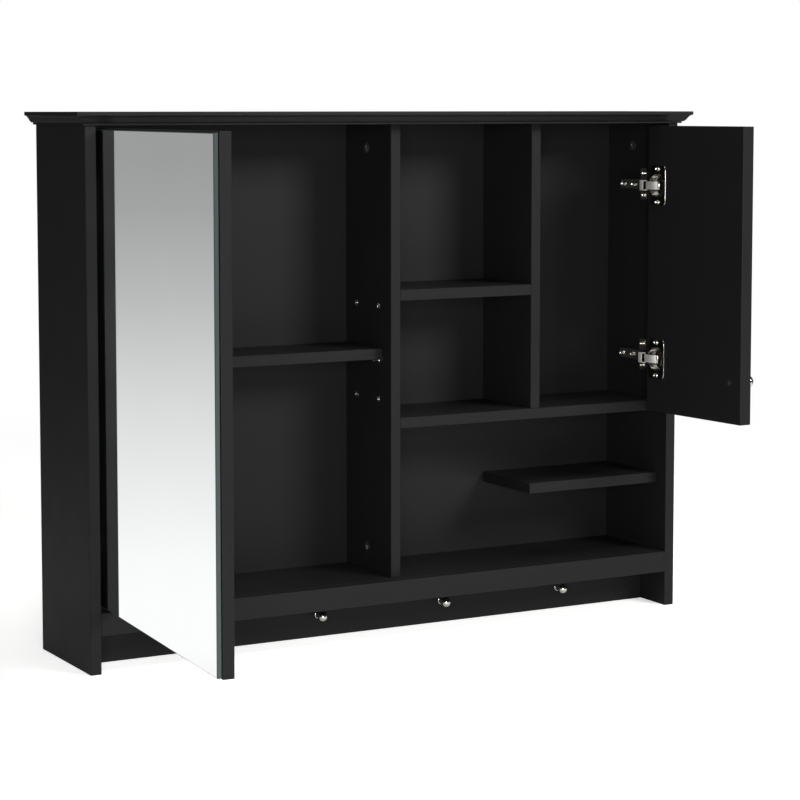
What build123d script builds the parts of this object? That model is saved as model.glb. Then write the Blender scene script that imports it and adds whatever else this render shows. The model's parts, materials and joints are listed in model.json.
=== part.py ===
from build123d import *
import math
import os

# Wall cabinet for a bathroom: two hinged doors over boxed compartments, an open
# niche, and a row of knobs for towels below.
# The model is drawn with x from the outer left side, y from the front edges of the
# sides back towards the wall, and z up from the foot of the sides.  Each piece is then
# moved so that the origin lies on the wall, midway between the two wall screws.
# The doors stand open; the joint value 0 is that open position.

# ---- overall sizes -------------------------------------------------------------
WIDTH = 914.0            # over the two sides
DEPTH = 175.0            # front edge of a side to the wall
HEIGHT = 706.0           # foot of a side to the underside of the top
BOARD = 15.0             # thickness of the carcass boards
EDGE_EASE = 0.6          # small eased edge on the boards

# ---- moulded top ---------------------------------------------------------------
TOP_T = 17.0
TOP_OVERHANG = 16.0      # at the front and at both ends
TOP_LIP_H = 5.0
TOP_FOOT_OUT = 4.0       # lowest fillet, proud of the sides
TOP_FOOT_H = 2.6
TOP_NOSE_IN = 0.8        # lip undercut where the curve starts

# ---- inside layout -------------------------------------------------------------
DIVIDER_CLEAR = 3.5      # a closed door's inner face to the dividers and fixed shelves
LONG_DIVIDER_X = 453.0
SHORT_DIVIDER_X = 679.5
MID_BOARD_Z = 287.0
FLOOR_TOP_Z = 80.0
FRONT_RAIL_H = 30.0
FIXED_SHELF_Z = 464.0
NICHE_SHELF_Z = 179.0
NICHE_SHELF_Y = 25.0
NICHE_SHELF_END_GAP = 0.5
KNOB_RAIL_Y = 62.0

# ---- back ----------------------------------------------------------------------
BACK_T = 5.0
HANG_RAIL_H = 80.0
LOW_RAIL_H = 60.0
HANG_HOLE_D = 6.5
HANG_HOLE_SPAN = 610.0   # between the two wall screws
HANG_HOLE_DROP = 40.0    # below the underside of the top
TACK_D = 1.8
TACK_L = 18.0
TACK_HEAD_D = 4.0
TACK_HEAD_T = 0.8

# ---- adjustable shelf ----------------------------------------------------------
LOOSE_SHELF_Z = 382.0
LOOSE_SHELF_Y = 46.0
LOOSE_SHELF_END_CLEAR = 0.3   # each end, to the rims of the pin sleeves
LOOSE_SHELF_BACK_GAP = 1.0
PIN_D = 5.0
PIN_BORE = 10.0
PIN_OUT = 9.0
PIN_FIT = 0.05           # radial gap of a pin or dowel in its bore
PIN_FRONT_Y = 59.0
PIN_PITCH_Y = 64.0
PIN_LEVELS_UP = 75.5     # spare holes above the pins in use
PIN_LEVELS_DOWN = 54.0   # and below
SLEEVE_D = 7.0           # pressed into the board round each pin
SLEEVE_RIM_D = 8.6
SLEEVE_RIM_T = 0.5

# ---- board joints --------------------------------------------------------------
CAM_D = 15.0
CAM_DEPTH = 12.0
CAM_FROM_EDGE = 33.0
CAM_FIT = 0.1
CAM_CROSS_L = 7.5         # cross slot in the cam
CAM_CROSS_W = 1.4
CAM_CROSS_DEEP = 1.2
CAM_BOLT_D = 6.0
CAM_BOLT_HOLD = 10.0     # threaded into the mating board
DOWEL_D = 8.0
DOWEL_IN_FACE = 9.0
DOWEL_IN_END = 20.0
DOWEL_OFFSET = 32.0      # each side of the cam
JOINT_DEPTH_END = 0.5    # spare depth at the bottom of a bore
JOINT_BACK = 4.0         # cams behind the middle of the boards' depth

# ---- doors ---------------------------------------------------------------------
DOOR_OPEN_DEG = 94.2     # how far the doors stand open at joint value 0
DOOR_T = 19.0            # both doors, over the glass on the mirrored one
DOOR_SIDE_GAP = 2.3      # hinge edge to the side panel, closed
DOOR_LAP = 3.0           # free edge over the divider
DOOR_TOP_GAP = 3.6
LEFT_DOOR_BOTTOM_GAP = 5.0
RIGHT_DOOR_UP = 1.4      # above the underside of the middle board that it covers
DOOR_EASE = 1.0
GLASS_T = 3.4
GLASS_BED = 0.8          # adhesive tape between glass and panel
GLASS_INSET = 1.6
TAPE_W = 24.0
TAPE_STRIPS = 4
TAPE_INSET = 30.0

# ---- concealed hinges (x from the side panel's inner face, y from the front) ---
PIVOT_IN = 12.0
PIVOT_TO_DOOR = 12.0     # hinge axis to the door's inner face
HINGE_FROM_TOP = 86.0
HINGE_FROM_BOTTOM = 77.0
CUP_D = 35.0
CUP_DEPTH = 11.3
CUP_WALL = 0.9
CUP_CENTRE = 21.5        # from the door's hinge edge
CUP_FIT = 0.1
FLANGE_L = 57.0
FLANGE_W = 32.0
FLANGE_T = 1.2
CUP_SCREW_SPAN = 48.0
PLATE_Y = 60.0
PLATE_SCREW_SPAN = 32.0
PLATE_WING_L = 46.0
PLATE_WING_W = 17.0
PLATE_WING_T = 2.2
PLATE_BLOCK_END_Y = 103.0
PLATE_BLOCK_Y = 46.0
PLATE_CORNER_R = 3.0
ARM_W = 15.0
ARM_WALL = 1.3
ARM_GAP = 0.4            # inside a cheek, to the plate's block and to the link
ARM_LOW = 14.0           # top of the arm over the plate
ARM_OVER_DOOR = 6.0      # top of the arm's nose over the open door's inner face
ARM_NOSE_BACK = 9.9      # front of the arm's cheeks, behind the hinge axis
ARM_WEB_BACK = 15.6      # front of its web, clear of the turning link
ARM_SLOPE_BACK = 23.0
ARM_SLOPE_END_Y = 50.0
ARM_TAIL_Y = 101.0
ARM_NOSE_H = 4.2
ARM_FOOT = 5.0           # edge of the cheeks above the side panel
ARM_SCREW_YS = (70.0, 96.0)
LINK_T = 4.0
LINK_REAR_BACK = 10.0    # its rear end, behind the hinge axis
LINK_REACH = 18.5        # its front end, before the hinge axis
LINK_FOOT_CLEAR = 1.4    # its foot to the floor of the cup
SCREW_HEAD_D = 7.5
SCREW_HEAD_T = 2.0
SCREW_D = 4.0
SCREW_L = 11.0
ARM_SCREW_L = 10.0
SCREW_CROSS_L = 4.2
SCREW_CROSS_W = 0.9
SCREW_CROSS_DEEP = 1.1

# ---- knobs ---------------------------------------------------------------------
TOWEL_KNOBS = 4
TOWEL_KNOB_PITCH = 196.0
TOWEL_KNOB_Z = 31.0
TOWEL_KNOB_D = 14.0
TOWEL_KNOB_OUT = 22.0
TOWEL_COLLAR_D = 11.0
DOOR_KNOB_D = 19.0
DOOR_KNOB_OUT = 25.0
DOOR_COLLAR_D = 12.0
DOOR_KNOB_FROM_EDGE = 27.0
DOOR_KNOB_UP = 57.0
KNOB_HEAD_SHARE = 0.52   # head height as a share of a knob's own length
KNOB_WAIST_SHARE = 0.3   # waist radius as a share of its collar's diameter
KNOB_COLLAR_T = 2.4
KNOB_SCREW_D = 4.0
KNOB_SCREW_BITE = 9.0
KNOB_SCREW_FIT = 0.05
KNOB_SCREW_HEAD_D = 8.5
KNOB_SCREW_HEAD_T = 2.4

# ---- derived planes; an open door's inner face is taken as parallel to the side ----
INNER_L = BOARD
INNER_R = WIDTH - BOARD
RAIL_T = BOARD
BACK_Y = DEPTH - RAIL_T - BACK_T
FLOOR_Z = FLOOR_TOP_Z - BOARD
MID_TOP_Z = MID_BOARD_Z + BOARD
FRONT_RECESS = DOOR_T + DIVIDER_CLEAR
JOINT_Y = (FRONT_RECESS + BACK_Y) / 2 + JOINT_BACK
HANG_Z = HEIGHT - HANG_HOLE_DROP
SHELF_PIN_Z = LOOSE_SHELF_Z - PIN_D / 2
PIVOT_Y = DOOR_T - PIVOT_TO_DOOR
OPEN_DOOR_X = PIVOT_IN + PIVOT_TO_DOOR
ARM_HIGH = OPEN_DOOR_X + ARM_OVER_DOOR
ARM_NOSE_Y = PIVOT_Y + ARM_NOSE_BACK
ARM_WEB_Y = PIVOT_Y + ARM_WEB_BACK
ARM_SLOPE_Y = PIVOT_Y + ARM_SLOPE_BACK
LINK_REAR_Y = PIVOT_Y + LINK_REAR_BACK
LINK_FRONT_Y = PIVOT_Y - LINK_REACH
LINK_DIP = OPEN_DOOR_X - (CUP_DEPTH - CUP_WALL - LINK_FOOT_CLEAR)
CHANNEL_W = ARM_W - 2 * ARM_WALL
CHANNEL_FILL_W = CHANNEL_W - 2 * ARM_GAP
ORIGIN = (-WIDTH / 2, -DEPTH, -HANG_Z)

nodes = {}


def box(x0, x1, y0, y1, z0, z1):
    return Pos((x0 + x1) / 2, (y0 + y1) / 2, (z0 + z1) / 2) * Box(x1 - x0, y1 - y0, z1 - z0)


def eased(solid, size=EDGE_EASE):
    return chamfer(solid.edges(), size)


def rod(start, direction, diameter, length):
    plane = Plane(origin=start, z_dir=direction)
    return plane * Cylinder(
        diameter / 2, length, align=(Align.CENTER, Align.CENTER, Align.MIN))


def cross_slot(length, width, deep):
    # a cross centred on the face it is cut into
    return Box(length, width, 2 * deep) + Box(width, length, 2 * deep)


def put(name, *solids):
    moved = [s.moved(Location(ORIGIN)) for s in solids]
    nodes[name] = moved[0] if len(moved) == 1 else Compound(children=moved)


def flip(solid):
    # the mirror image about the cabinet's middle plane
    return mirror(solid, about=Plane.YZ).moved(Location((WIDTH, 0, 0)))


# ---- board joints: a cam, its bolt and two dowels at each ------------------------
# A joint is where the end of one board meets the face of another.  `at` is the middle
# of the meeting line, `out` points from the end into the face, and `side` is the
# direction from which the cam is pressed into the board.
joints_made = []


def joint(end_board, face_board, at, out, side):
    joints_made.append((end_board, face_board, Vector(*at), Vector(*out), Vector(*side)))


def joint_hardware(at, out, side, grow):
    cam_r = CAM_D / 2 + grow
    back = at - out * CAM_FROM_EDGE
    cam_top = back + side * (BOARD / 2)
    cam = rod(cam_top - side * (CAM_DEPTH + grow), side, 2 * cam_r, CAM_DEPTH + grow)
    bolt_len = CAM_FROM_EDGE - CAM_D / 2 + CAM_BOLT_HOLD
    bolt_from = at - out * (CAM_FROM_EDGE - CAM_D / 2)
    bolt = rod(bolt_from - out * (2 * grow), out, CAM_BOLT_D + 2 * grow, bolt_len + 4 * grow)
    dowels = []
    along = Vector(0, 1, 0)
    for sign in (-1, 1):
        begin = at + along * (sign * DOWEL_OFFSET) - out * (DOWEL_IN_END + grow)
        length = DOWEL_IN_END + DOWEL_IN_FACE + 2 * grow
        dowels.append(rod(begin, out, DOWEL_D + 2 * grow, length))
    return cam, bolt, dowels


# ---- carcass ---------------------------------------------------------------------
boards = {
    "side_panel_left": box(0, BOARD, 0, DEPTH, 0, HEIGHT),
    "side_panel_right": box(INNER_R, WIDTH, 0, DEPTH, 0, HEIGHT),
    "bottom_board": box(INNER_L, INNER_R, BOARD, BACK_Y, FLOOR_Z, FLOOR_TOP_Z),
    "long_divider": box(
        LONG_DIVIDER_X, LONG_DIVIDER_X + BOARD, FRONT_RECESS, BACK_Y, FLOOR_TOP_Z, HEIGHT),
    "short_divider": box(
        SHORT_DIVIDER_X, SHORT_DIVIDER_X + BOARD, FRONT_RECESS, BACK_Y, MID_TOP_Z, HEIGHT),
    "middle_board": box(
        LONG_DIVIDER_X + BOARD, INNER_R, FRONT_RECESS, BACK_Y, MID_BOARD_Z, MID_TOP_Z),
    "open_bay_shelf": box(
        LONG_DIVIDER_X + BOARD, SHORT_DIVIDER_X, FRONT_RECESS, BACK_Y,
        FIXED_SHELF_Z, FIXED_SHELF_Z + BOARD),
    "niche_shelf": box(
        SHORT_DIVIDER_X + NICHE_SHELF_END_GAP, INNER_R, NICHE_SHELF_Y, BACK_Y,
        NICHE_SHELF_Z, NICHE_SHELF_Z + BOARD),
    "front_rail": box(
        INNER_L, INNER_R, 0, BOARD, FLOOR_TOP_Z - FRONT_RAIL_H, FLOOR_TOP_Z),
    "towel_knob_rail": box(INNER_L, INNER_R, KNOB_RAIL_Y, KNOB_RAIL_Y + BOARD, 0, FLOOR_Z),
    "hanging_rail": box(
        INNER_L, INNER_R, DEPTH - RAIL_T, DEPTH, HEIGHT - HANG_RAIL_H, HEIGHT),
    "lower_back_rail": box(
        INNER_L, INNER_R, DEPTH - RAIL_T, DEPTH, FLOOR_Z, FLOOR_Z + LOW_RAIL_H),
}
boards = {name: eased(solid) for name, solid in boards.items()}
boards["back_panel"] = box(INNER_L, INNER_R, BACK_Y, BACK_Y + BACK_T, FLOOR_Z, HEIGHT)

# the moulded top: one section runs along x and one along y, and they meet in a mitre
ogee_low = TOP_FOOT_H
ogee_high = TOP_T - TOP_LIP_H
nose = TOP_OVERHANG - TOP_NOSE_IN


def moulding_edge():
    # (out from the side, up from the underside), from the foot to the top of the lip
    foot = Line((TOP_FOOT_OUT, 0), (TOP_FOOT_OUT, ogee_low))
    step = Line(foot @ 1, (TOP_FOOT_OUT + 1.2, ogee_low))
    middle = ((TOP_FOOT_OUT + 1.2 + nose) / 2, (ogee_low + ogee_high) / 2 - 0.6)
    hollow = ThreePointArc(step @ 1, (middle[0] - 1.6, middle[1] - 2.0), middle)
    swell = ThreePointArc(
        middle, (middle[0] + 3.1, middle[1] + 1.2), (nose, ogee_high))
    lip_foot = Line((nose, ogee_high), (TOP_OVERHANG, ogee_high + 0.5))
    lip = Line(lip_foot @ 1, (TOP_OVERHANG, TOP_T - 1.0))
    ease = Line(lip @ 1, (TOP_OVERHANG - 1.0, TOP_T))
    return [foot, step, hollow, swell, lip_foot, lip, ease]


def top_section(half, both):
    # closed face in a plane whose local x runs outward and local y up
    right = [Pos(half, 0) * edge for edge in moulding_edge()]
    if both:
        left = [mirror(edge, about=Plane.YZ) for edge in right]
    else:
        left = [Line((-half, 0), (-half, TOP_T))]
    base = Line((-half - (TOP_FOOT_OUT if both else 0), 0), (half + TOP_FOOT_OUT, 0))
    reach = TOP_OVERHANG - 1.0
    cap = Line((-half - (reach if both else 0), TOP_T), (half + reach, TOP_T))
    return make_face(Curve() + right + left + [base, cap])


long_reach = WIDTH + 2 * TOP_OVERHANG
front_plane = Plane(origin=(WIDTH / 2, DEPTH, HEIGHT), x_dir=(1, 0, 0), z_dir=(0, -1, 0))
end_plane = Plane(
    origin=(-TOP_OVERHANG, DEPTH / 2, HEIGHT), x_dir=(0, -1, 0), z_dir=(-1, 0, 0))
across = extrude(front_plane * top_section(WIDTH / 2, True), DEPTH + TOP_OVERHANG)
end_face = end_plane * top_section(DEPTH / 2, False)
along_front = extrude(end_face, long_reach, dir=(1, 0, 0))
boards["moulded_top"] = (across & along_front).solid()

UP = (0, 0, 1)
DOWN = (0, 0, -1)
LEFT = (-1, 0, 0)
RIGHT = (1, 0, 0)
half_board = BOARD / 2
joint("side_panel_left", "moulded_top", (half_board, JOINT_Y, HEIGHT), UP, RIGHT)
joint("side_panel_right", "moulded_top", (INNER_R + half_board, JOINT_Y, HEIGHT), UP, LEFT)
joint("long_divider", "moulded_top",
      (LONG_DIVIDER_X + half_board, JOINT_Y, HEIGHT), UP, LEFT)
joint("short_divider", "moulded_top",
      (SHORT_DIVIDER_X + half_board, JOINT_Y, HEIGHT), UP, RIGHT)
joint("long_divider", "bottom_board",
      (LONG_DIVIDER_X + half_board, JOINT_Y, FLOOR_TOP_Z), DOWN, LEFT)
joint("short_divider", "middle_board",
      (SHORT_DIVIDER_X + half_board, JOINT_Y, MID_TOP_Z), DOWN, RIGHT)
joint("bottom_board", "side_panel_left", (INNER_L, JOINT_Y, FLOOR_Z + half_board), LEFT, DOWN)
joint("bottom_board", "side_panel_right", (INNER_R, JOINT_Y, FLOOR_Z + half_board), RIGHT, DOWN)
joint("middle_board", "side_panel_right",
      (INNER_R, JOINT_Y, MID_BOARD_Z + half_board), RIGHT, DOWN)
joint("middle_board", "long_divider",
      (LONG_DIVIDER_X + BOARD, JOINT_Y, MID_BOARD_Z + half_board), LEFT, DOWN)
joint("open_bay_shelf", "short_divider",
      (SHORT_DIVIDER_X, JOINT_Y, FIXED_SHELF_Z + half_board), RIGHT, DOWN)
joint("open_bay_shelf", "long_divider",
      (LONG_DIVIDER_X + BOARD, JOINT_Y, FIXED_SHELF_Z + half_board), LEFT, DOWN)
joint("niche_shelf", "side_panel_right",
      (INNER_R, JOINT_Y, NICHE_SHELF_Z + half_board), RIGHT, DOWN)

cams = []
bolts = []
wood_dowels = []
for end_board, face_board, at, out, side in joints_made:
    cam, bolt, dowels = joint_hardware(at, out, side, 0.0)
    slot_at = at - out * CAM_FROM_EDGE + side * (BOARD / 2)
    slot_plane = Plane(origin=slot_at, z_dir=side, x_dir=(0, 1, 0))
    slot = slot_plane * cross_slot(CAM_CROSS_L, CAM_CROSS_W, CAM_CROSS_DEEP)
    cams.append(cam - slot)
    bolts.append(bolt)
    wood_dowels.extend(dowels)
    cam_room, bolt_room, dowel_room = joint_hardware(at, out, side, CAM_FIT)
    for room in [cam_room, bolt_room] + dowel_room:
        boards[end_board] -= room
    for room in [bolt_room] + dowel_room:
        boards[face_board] -= room
put("cam_locks", *cams)
put("cam_bolts", *bolts)
put("wood_dowels", *wood_dowels)

# dowels alone hold the rails, two at each end
rail_dowels = []
for name, y, z0, z1 in (
        ("front_rail", BOARD / 2, FLOOR_TOP_Z - FRONT_RAIL_H, FLOOR_TOP_Z),
        ("towel_knob_rail", KNOB_RAIL_Y + BOARD / 2, 0, FLOOR_Z),
        ("hanging_rail", DEPTH - RAIL_T / 2, HEIGHT - HANG_RAIL_H, HEIGHT),
        ("lower_back_rail", DEPTH - RAIL_T / 2, FLOOR_Z, FLOOR_Z + LOW_RAIL_H)):
    spread = (z1 - z0) / 4
    for panel, x, out in (
            ("side_panel_left", INNER_L, Vector(-1, 0, 0)),
            ("side_panel_right", INNER_R, Vector(1, 0, 0))):
        for z in ((z0 + z1) / 2 - spread, (z0 + z1) / 2 + spread):
            middle = Vector(x, y, z)
            start = middle - out * DOWEL_IN_END
            room_start = start - out * JOINT_DEPTH_END
            run = DOWEL_IN_END + DOWEL_IN_FACE
            room = rod(room_start, out, DOWEL_D + 2 * PIN_FIT, run + 2 * JOINT_DEPTH_END)
            rail_dowels.append(rod(start, out, DOWEL_D, run))
            boards[name] -= room
            boards[panel] -= room
put("rail_dowels", *rail_dowels)

# holes for the two wall screws, through the hanging rail and the back panel
for x in (WIDTH / 2 - HANG_HOLE_SPAN / 2, WIDTH / 2 + HANG_HOLE_SPAN / 2):
    hole = rod((x, BACK_Y - 1, HANG_Z), (0, 1, 0), HANG_HOLE_D, DEPTH - BACK_Y + 2)
    boards["hanging_rail"] -= hole
    boards["back_panel"] -= hole

def shares(start, end, count):
    # the middles of equal shares of a span
    return [start + (end - start) * (i + 0.5) / count for i in range(count)]


# tacks hold the back panel to the edges of the boards in front of it
tack_spots = []
for x in (LONG_DIVIDER_X + half_board, SHORT_DIVIDER_X + half_board):
    for z in shares(MID_TOP_Z, HEIGHT - HANG_RAIL_H, 2):
        tack_spots.append((x, z))
tack_spots.append((LONG_DIVIDER_X + half_board, *shares(FLOOR_TOP_Z, MID_BOARD_Z, 1)))
for x in shares(INNER_L, LONG_DIVIDER_X, 2) + shares(LONG_DIVIDER_X + BOARD, INNER_R, 2):
    tack_spots.append((x, FLOOR_Z + half_board))
for x in shares(LONG_DIVIDER_X + BOARD, INNER_R, 2):
    tack_spots.append((x, MID_BOARD_Z + half_board))
tack_spots.append((*shares(SHORT_DIVIDER_X, INNER_R, 1), NICHE_SHELF_Z + half_board))

tacks = []
for x, z in tack_spots:
    shank = rod((x, BACK_Y + BACK_T - TACK_L, z), (0, 1, 0), TACK_D, TACK_L)
    head = rod((x, BACK_Y + BACK_T - TACK_HEAD_T, z), (0, 1, 0), TACK_HEAD_D, TACK_HEAD_T)
    tacks.append((shank + head).solid())
    room = rod((x, BACK_Y + BACK_T - TACK_L - JOINT_DEPTH_END, z), (0, 1, 0),
               TACK_D + 2 * PIN_FIT, TACK_L + JOINT_DEPTH_END)
    sink = rod((x, BACK_Y + BACK_T - TACK_HEAD_T, z), (0, 1, 0),
               TACK_HEAD_D + 2 * PIN_FIT, TACK_HEAD_T)
    for name in ("long_divider", "short_divider", "bottom_board", "middle_board",
                 "niche_shelf"):
        boards[name] -= room
    boards["back_panel"] -= room + sink
put("back_tacks", *tacks)

# ---- adjustable shelf, its pins, and the sleeves in the rows of pin holes -----------
shelf_x0 = INNER_L + SLEEVE_RIM_T + LOOSE_SHELF_END_CLEAR
shelf_x1 = LONG_DIVIDER_X - SLEEVE_RIM_T - LOOSE_SHELF_END_CLEAR
put("adjustable_shelf", eased(box(
    shelf_x0, shelf_x1, LOOSE_SHELF_Y, BACK_Y - LOOSE_SHELF_BACK_GAP,
    LOOSE_SHELF_Z, LOOSE_SHELF_Z + BOARD)))
pins = []
sleeves = []
for wall_name, wall_x, inward in (
        ("side_panel_left", INNER_L, 1), ("long_divider", LONG_DIVIDER_X, -1)):
    for y in (PIN_FRONT_Y, PIN_FRONT_Y + PIN_PITCH_Y):
        for z in (SHELF_PIN_Z - PIN_LEVELS_DOWN, SHELF_PIN_Z, SHELF_PIN_Z + PIN_LEVELS_UP):
            bottom = (wall_x - inward * (PIN_BORE + JOINT_DEPTH_END), y, z)
            facing = (inward, 0, 0)
            long = PIN_BORE + JOINT_DEPTH_END
            boards[wall_name] -= rod(bottom, facing, SLEEVE_D + 2 * PIN_FIT, long)
            tube = rod(bottom, facing, SLEEVE_D, long)
            rim = rod((wall_x, y, z), facing, SLEEVE_RIM_D, SLEEVE_RIM_T)
            bore = rod(bottom, facing, PIN_D + 2 * PIN_FIT, long + SLEEVE_RIM_T)
            sleeves.append((tube + rim - bore).solid())
        start = wall_x - inward * PIN_BORE
        pin = rod((start, y, SHELF_PIN_Z), (inward, 0, 0), PIN_D, PIN_BORE + PIN_OUT)
        pins.append(chamfer(pin.edges().filter_by(GeomType.CIRCLE), 0.5))
put("shelf_pins", *pins)
put("shelf_pin_sleeves", *sleeves)

# ---- hinges, drawn for the left side; the right side gets their mirror image ------
left_z0 = FLOOR_TOP_Z + LEFT_DOOR_BOTTOM_GAP
right_z0 = MID_BOARD_Z + RIGHT_DOOR_UP
door_z1 = HEIGHT - DOOR_TOP_GAP
pivot = Axis((INNER_L + PIVOT_IN, PIVOT_Y, 0), (0, 0, 1))


def swing(solid):
    # from closed to the open rest position
    return solid.rotate(pivot, -DOOR_OPEN_DEG)


def side_profile(points, width, z):
    # a flat outline in x and y, given an even thickness about the height z
    wire = Polyline(*[(INNER_L + x, y) for x, y in points], close=True)
    return Pos(0, 0, z - width / 2) * extrude(make_face(wire), width)


def screw(head_at, into, length):
    shank = rod(head_at, into, SCREW_D, length)
    out = Vector(*into) * -1
    head = rod(head_at, out, SCREW_HEAD_D, SCREW_HEAD_T)
    cross = Plane(origin=Vector(*head_at) + out * SCREW_HEAD_T, z_dir=out)
    slot = cross * cross_slot(SCREW_CROSS_L, SCREW_CROSS_W, SCREW_CROSS_DEEP)
    return (shank + head - slot).solid()


def screw_room(head_at, into, length):
    return rod(head_at, into, SCREW_D + 2 * PIN_FIT, length + JOINT_DEPTH_END)


def hinge_plate(z):
    wing = box(INNER_L, INNER_L + PLATE_WING_T, PLATE_Y - PLATE_WING_W / 2,
               PLATE_Y + PLATE_WING_W / 2, z - PLATE_WING_L / 2, z + PLATE_WING_L / 2)
    wing = fillet(wing.edges().filter_by(Axis.X), PLATE_CORNER_R)
    block = box(INNER_L, INNER_L + ARM_LOW - ARM_WALL, PLATE_BLOCK_Y, PLATE_BLOCK_END_Y,
                z - CHANNEL_FILL_W / 2, z + CHANNEL_FILL_W / 2)
    return wing + block


def hinge_arm(z):
    outer = [
        (ARM_HIGH, ARM_NOSE_Y), (ARM_HIGH, ARM_SLOPE_Y), (ARM_LOW, ARM_SLOPE_END_Y),
        (ARM_LOW, ARM_TAIL_Y), (ARM_FOOT, ARM_TAIL_Y), (ARM_FOOT, ARM_SLOPE_END_Y - 3.0),
        (ARM_HIGH - ARM_NOSE_H, ARM_SLOPE_Y - 4.0), (ARM_HIGH - ARM_NOSE_H, ARM_NOSE_Y)]
    slope_in = ARM_WALL * 1.25
    inner = [
        (ARM_HIGH - ARM_WALL, ARM_NOSE_Y - 1), (ARM_HIGH - ARM_WALL, ARM_SLOPE_Y - 0.5),
        (ARM_LOW - ARM_WALL, ARM_SLOPE_END_Y - slope_in + 0.7),
        (ARM_LOW - ARM_WALL, ARM_TAIL_Y + 1), (0, ARM_TAIL_Y + 1), (0, ARM_NOSE_Y - 1)]
    arm = side_profile(outer, ARM_W, z) - side_profile(inner, CHANNEL_W, z)
    nose_slot = box(INNER_L + ARM_HIGH - ARM_NOSE_H - 1, INNER_L + ARM_HIGH + 1,
                    ARM_NOSE_Y - 1, ARM_WEB_Y, z - CHANNEL_W / 2, z + CHANNEL_W / 2)
    return (arm - nose_slot).solid()


def hinge_link(z):
    top = ARM_HIGH
    low = ARM_HIGH - LINK_T
    outline = [
        (top, LINK_REAR_Y - 3.4), (top, LINK_FRONT_Y + 8.0), (top - 3.4, LINK_FRONT_Y + 1.8),
        (top - 5.6, LINK_FRONT_Y), (LINK_DIP, LINK_FRONT_Y + 1.5), (LINK_DIP, LINK_FRONT_Y + 7.0),
        (low, LINK_FRONT_Y + 7.0), (low, LINK_REAR_Y), (top - 1.8, LINK_REAR_Y)]
    return side_profile(outline, CHANNEL_FILL_W, z)


def cup_middle(z):
    return Vector(INNER_L + DOOR_SIDE_GAP + CUP_CENTRE, DOOR_T, z)


def hinge_cup(z):
    at = cup_middle(z)
    shell = rod(at, (0, -1, 0), CUP_D, CUP_DEPTH)
    flange_plane = Plane(origin=at, z_dir=(0, 1, 0), x_dir=(1, 0, 0))
    flange = extrude(flange_plane * RectangleRounded(FLANGE_W, FLANGE_L, 4.0), FLANGE_T)
    bowl = rod(at + Vector(0, FLANGE_T + 1, 0), (0, -1, 0), CUP_D - 2 * CUP_WALL,
               CUP_DEPTH - CUP_WALL + FLANGE_T + 1)
    return (shell + flange - bowl).solid()


def hinge_set(z):
    """One hinge at height z: fixed pieces, turning pieces, and the room they need."""
    inward = (1, 0, 0)
    plate = hinge_plate(z)
    arm = hinge_arm(z)
    cup = hinge_cup(z)
    plate_screws = []
    side_room = []
    for dz in (-PLATE_SCREW_SPAN / 2, PLATE_SCREW_SPAN / 2):
        head_at = (INNER_L + PLATE_WING_T, PLATE_Y, z + dz)
        plate_screws.append(screw(head_at, (-1, 0, 0), SCREW_L))
        room = screw_room(head_at, (-1, 0, 0), SCREW_L)
        plate -= room
        side_room.append(room)
    arm_screws = []
    for y in ARM_SCREW_YS:
        head_at = (INNER_L + ARM_LOW, y, z)
        arm_screws.append(screw(head_at, (-1, 0, 0), ARM_SCREW_L))
        room = screw_room(head_at, (-1, 0, 0), ARM_SCREW_L)
        plate -= room
        arm -= room
    cup_screws = []
    door_room = [rod(cup_middle(z), (0, -1, 0), CUP_D + 2 * CUP_FIT, CUP_DEPTH + CUP_FIT)]
    for dz in (-CUP_SCREW_SPAN / 2, CUP_SCREW_SPAN / 2):
        head_at = cup_middle(z) + Vector(0, FLANGE_T, dz)
        cup_screws.append(screw(head_at, (0, -1, 0), SCREW_L))
        room = screw_room(head_at, (0, -1, 0), SCREW_L)
        cup -= room
        door_room.append(room)
    link = hinge_link(z)
    return {
        "plate": plate.solid(), "arm": arm.solid(), "link": link, "cup": swing(cup.solid()),
        "fixed_screws": plate_screws + arm_screws,
        "cup_screws": [swing(s) for s in cup_screws],
        "side_room": side_room, "door_room": door_room}


def door_panel(width, z0, front):
    panel = box(INNER_L + DOOR_SIDE_GAP, INNER_L + DOOR_SIDE_GAP + width, front, DOOR_T,
                z0, door_z1)
    return fillet(panel.edges(), DOOR_EASE)


def hang(side, panel, z0):
    """Fit both hinges of one door; returns the drilled panel."""
    turn = flip if side == "right" else (lambda solid: solid)
    fixed_screws = []
    cup_screws = []
    for level, z in (("lower", z0 + HINGE_FROM_BOTTOM), ("upper", door_z1 - HINGE_FROM_TOP)):
        pieces = hinge_set(z)
        put(f"{side}_{level}_hinge_plate", turn(pieces["plate"]))
        put(f"{side}_{level}_hinge_arm", turn(pieces["arm"]))
        put(f"{side}_{level}_hinge_link", turn(pieces["link"]))
        put(f"{side}_{level}_hinge_cup", turn(pieces["cup"]))
        fixed_screws += [turn(s) for s in pieces["fixed_screws"]]
        cup_screws += [turn(s) for s in pieces["cup_screws"]]
        for room in pieces["side_room"]:
            boards[f"side_panel_{side}"] -= turn(room)
        for room in pieces["door_room"]:
            panel -= room
    put(f"{side}_hinge_plate_screws", *fixed_screws)
    put(f"{side}_hinge_cup_screws", *cup_screws)
    return panel


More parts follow.
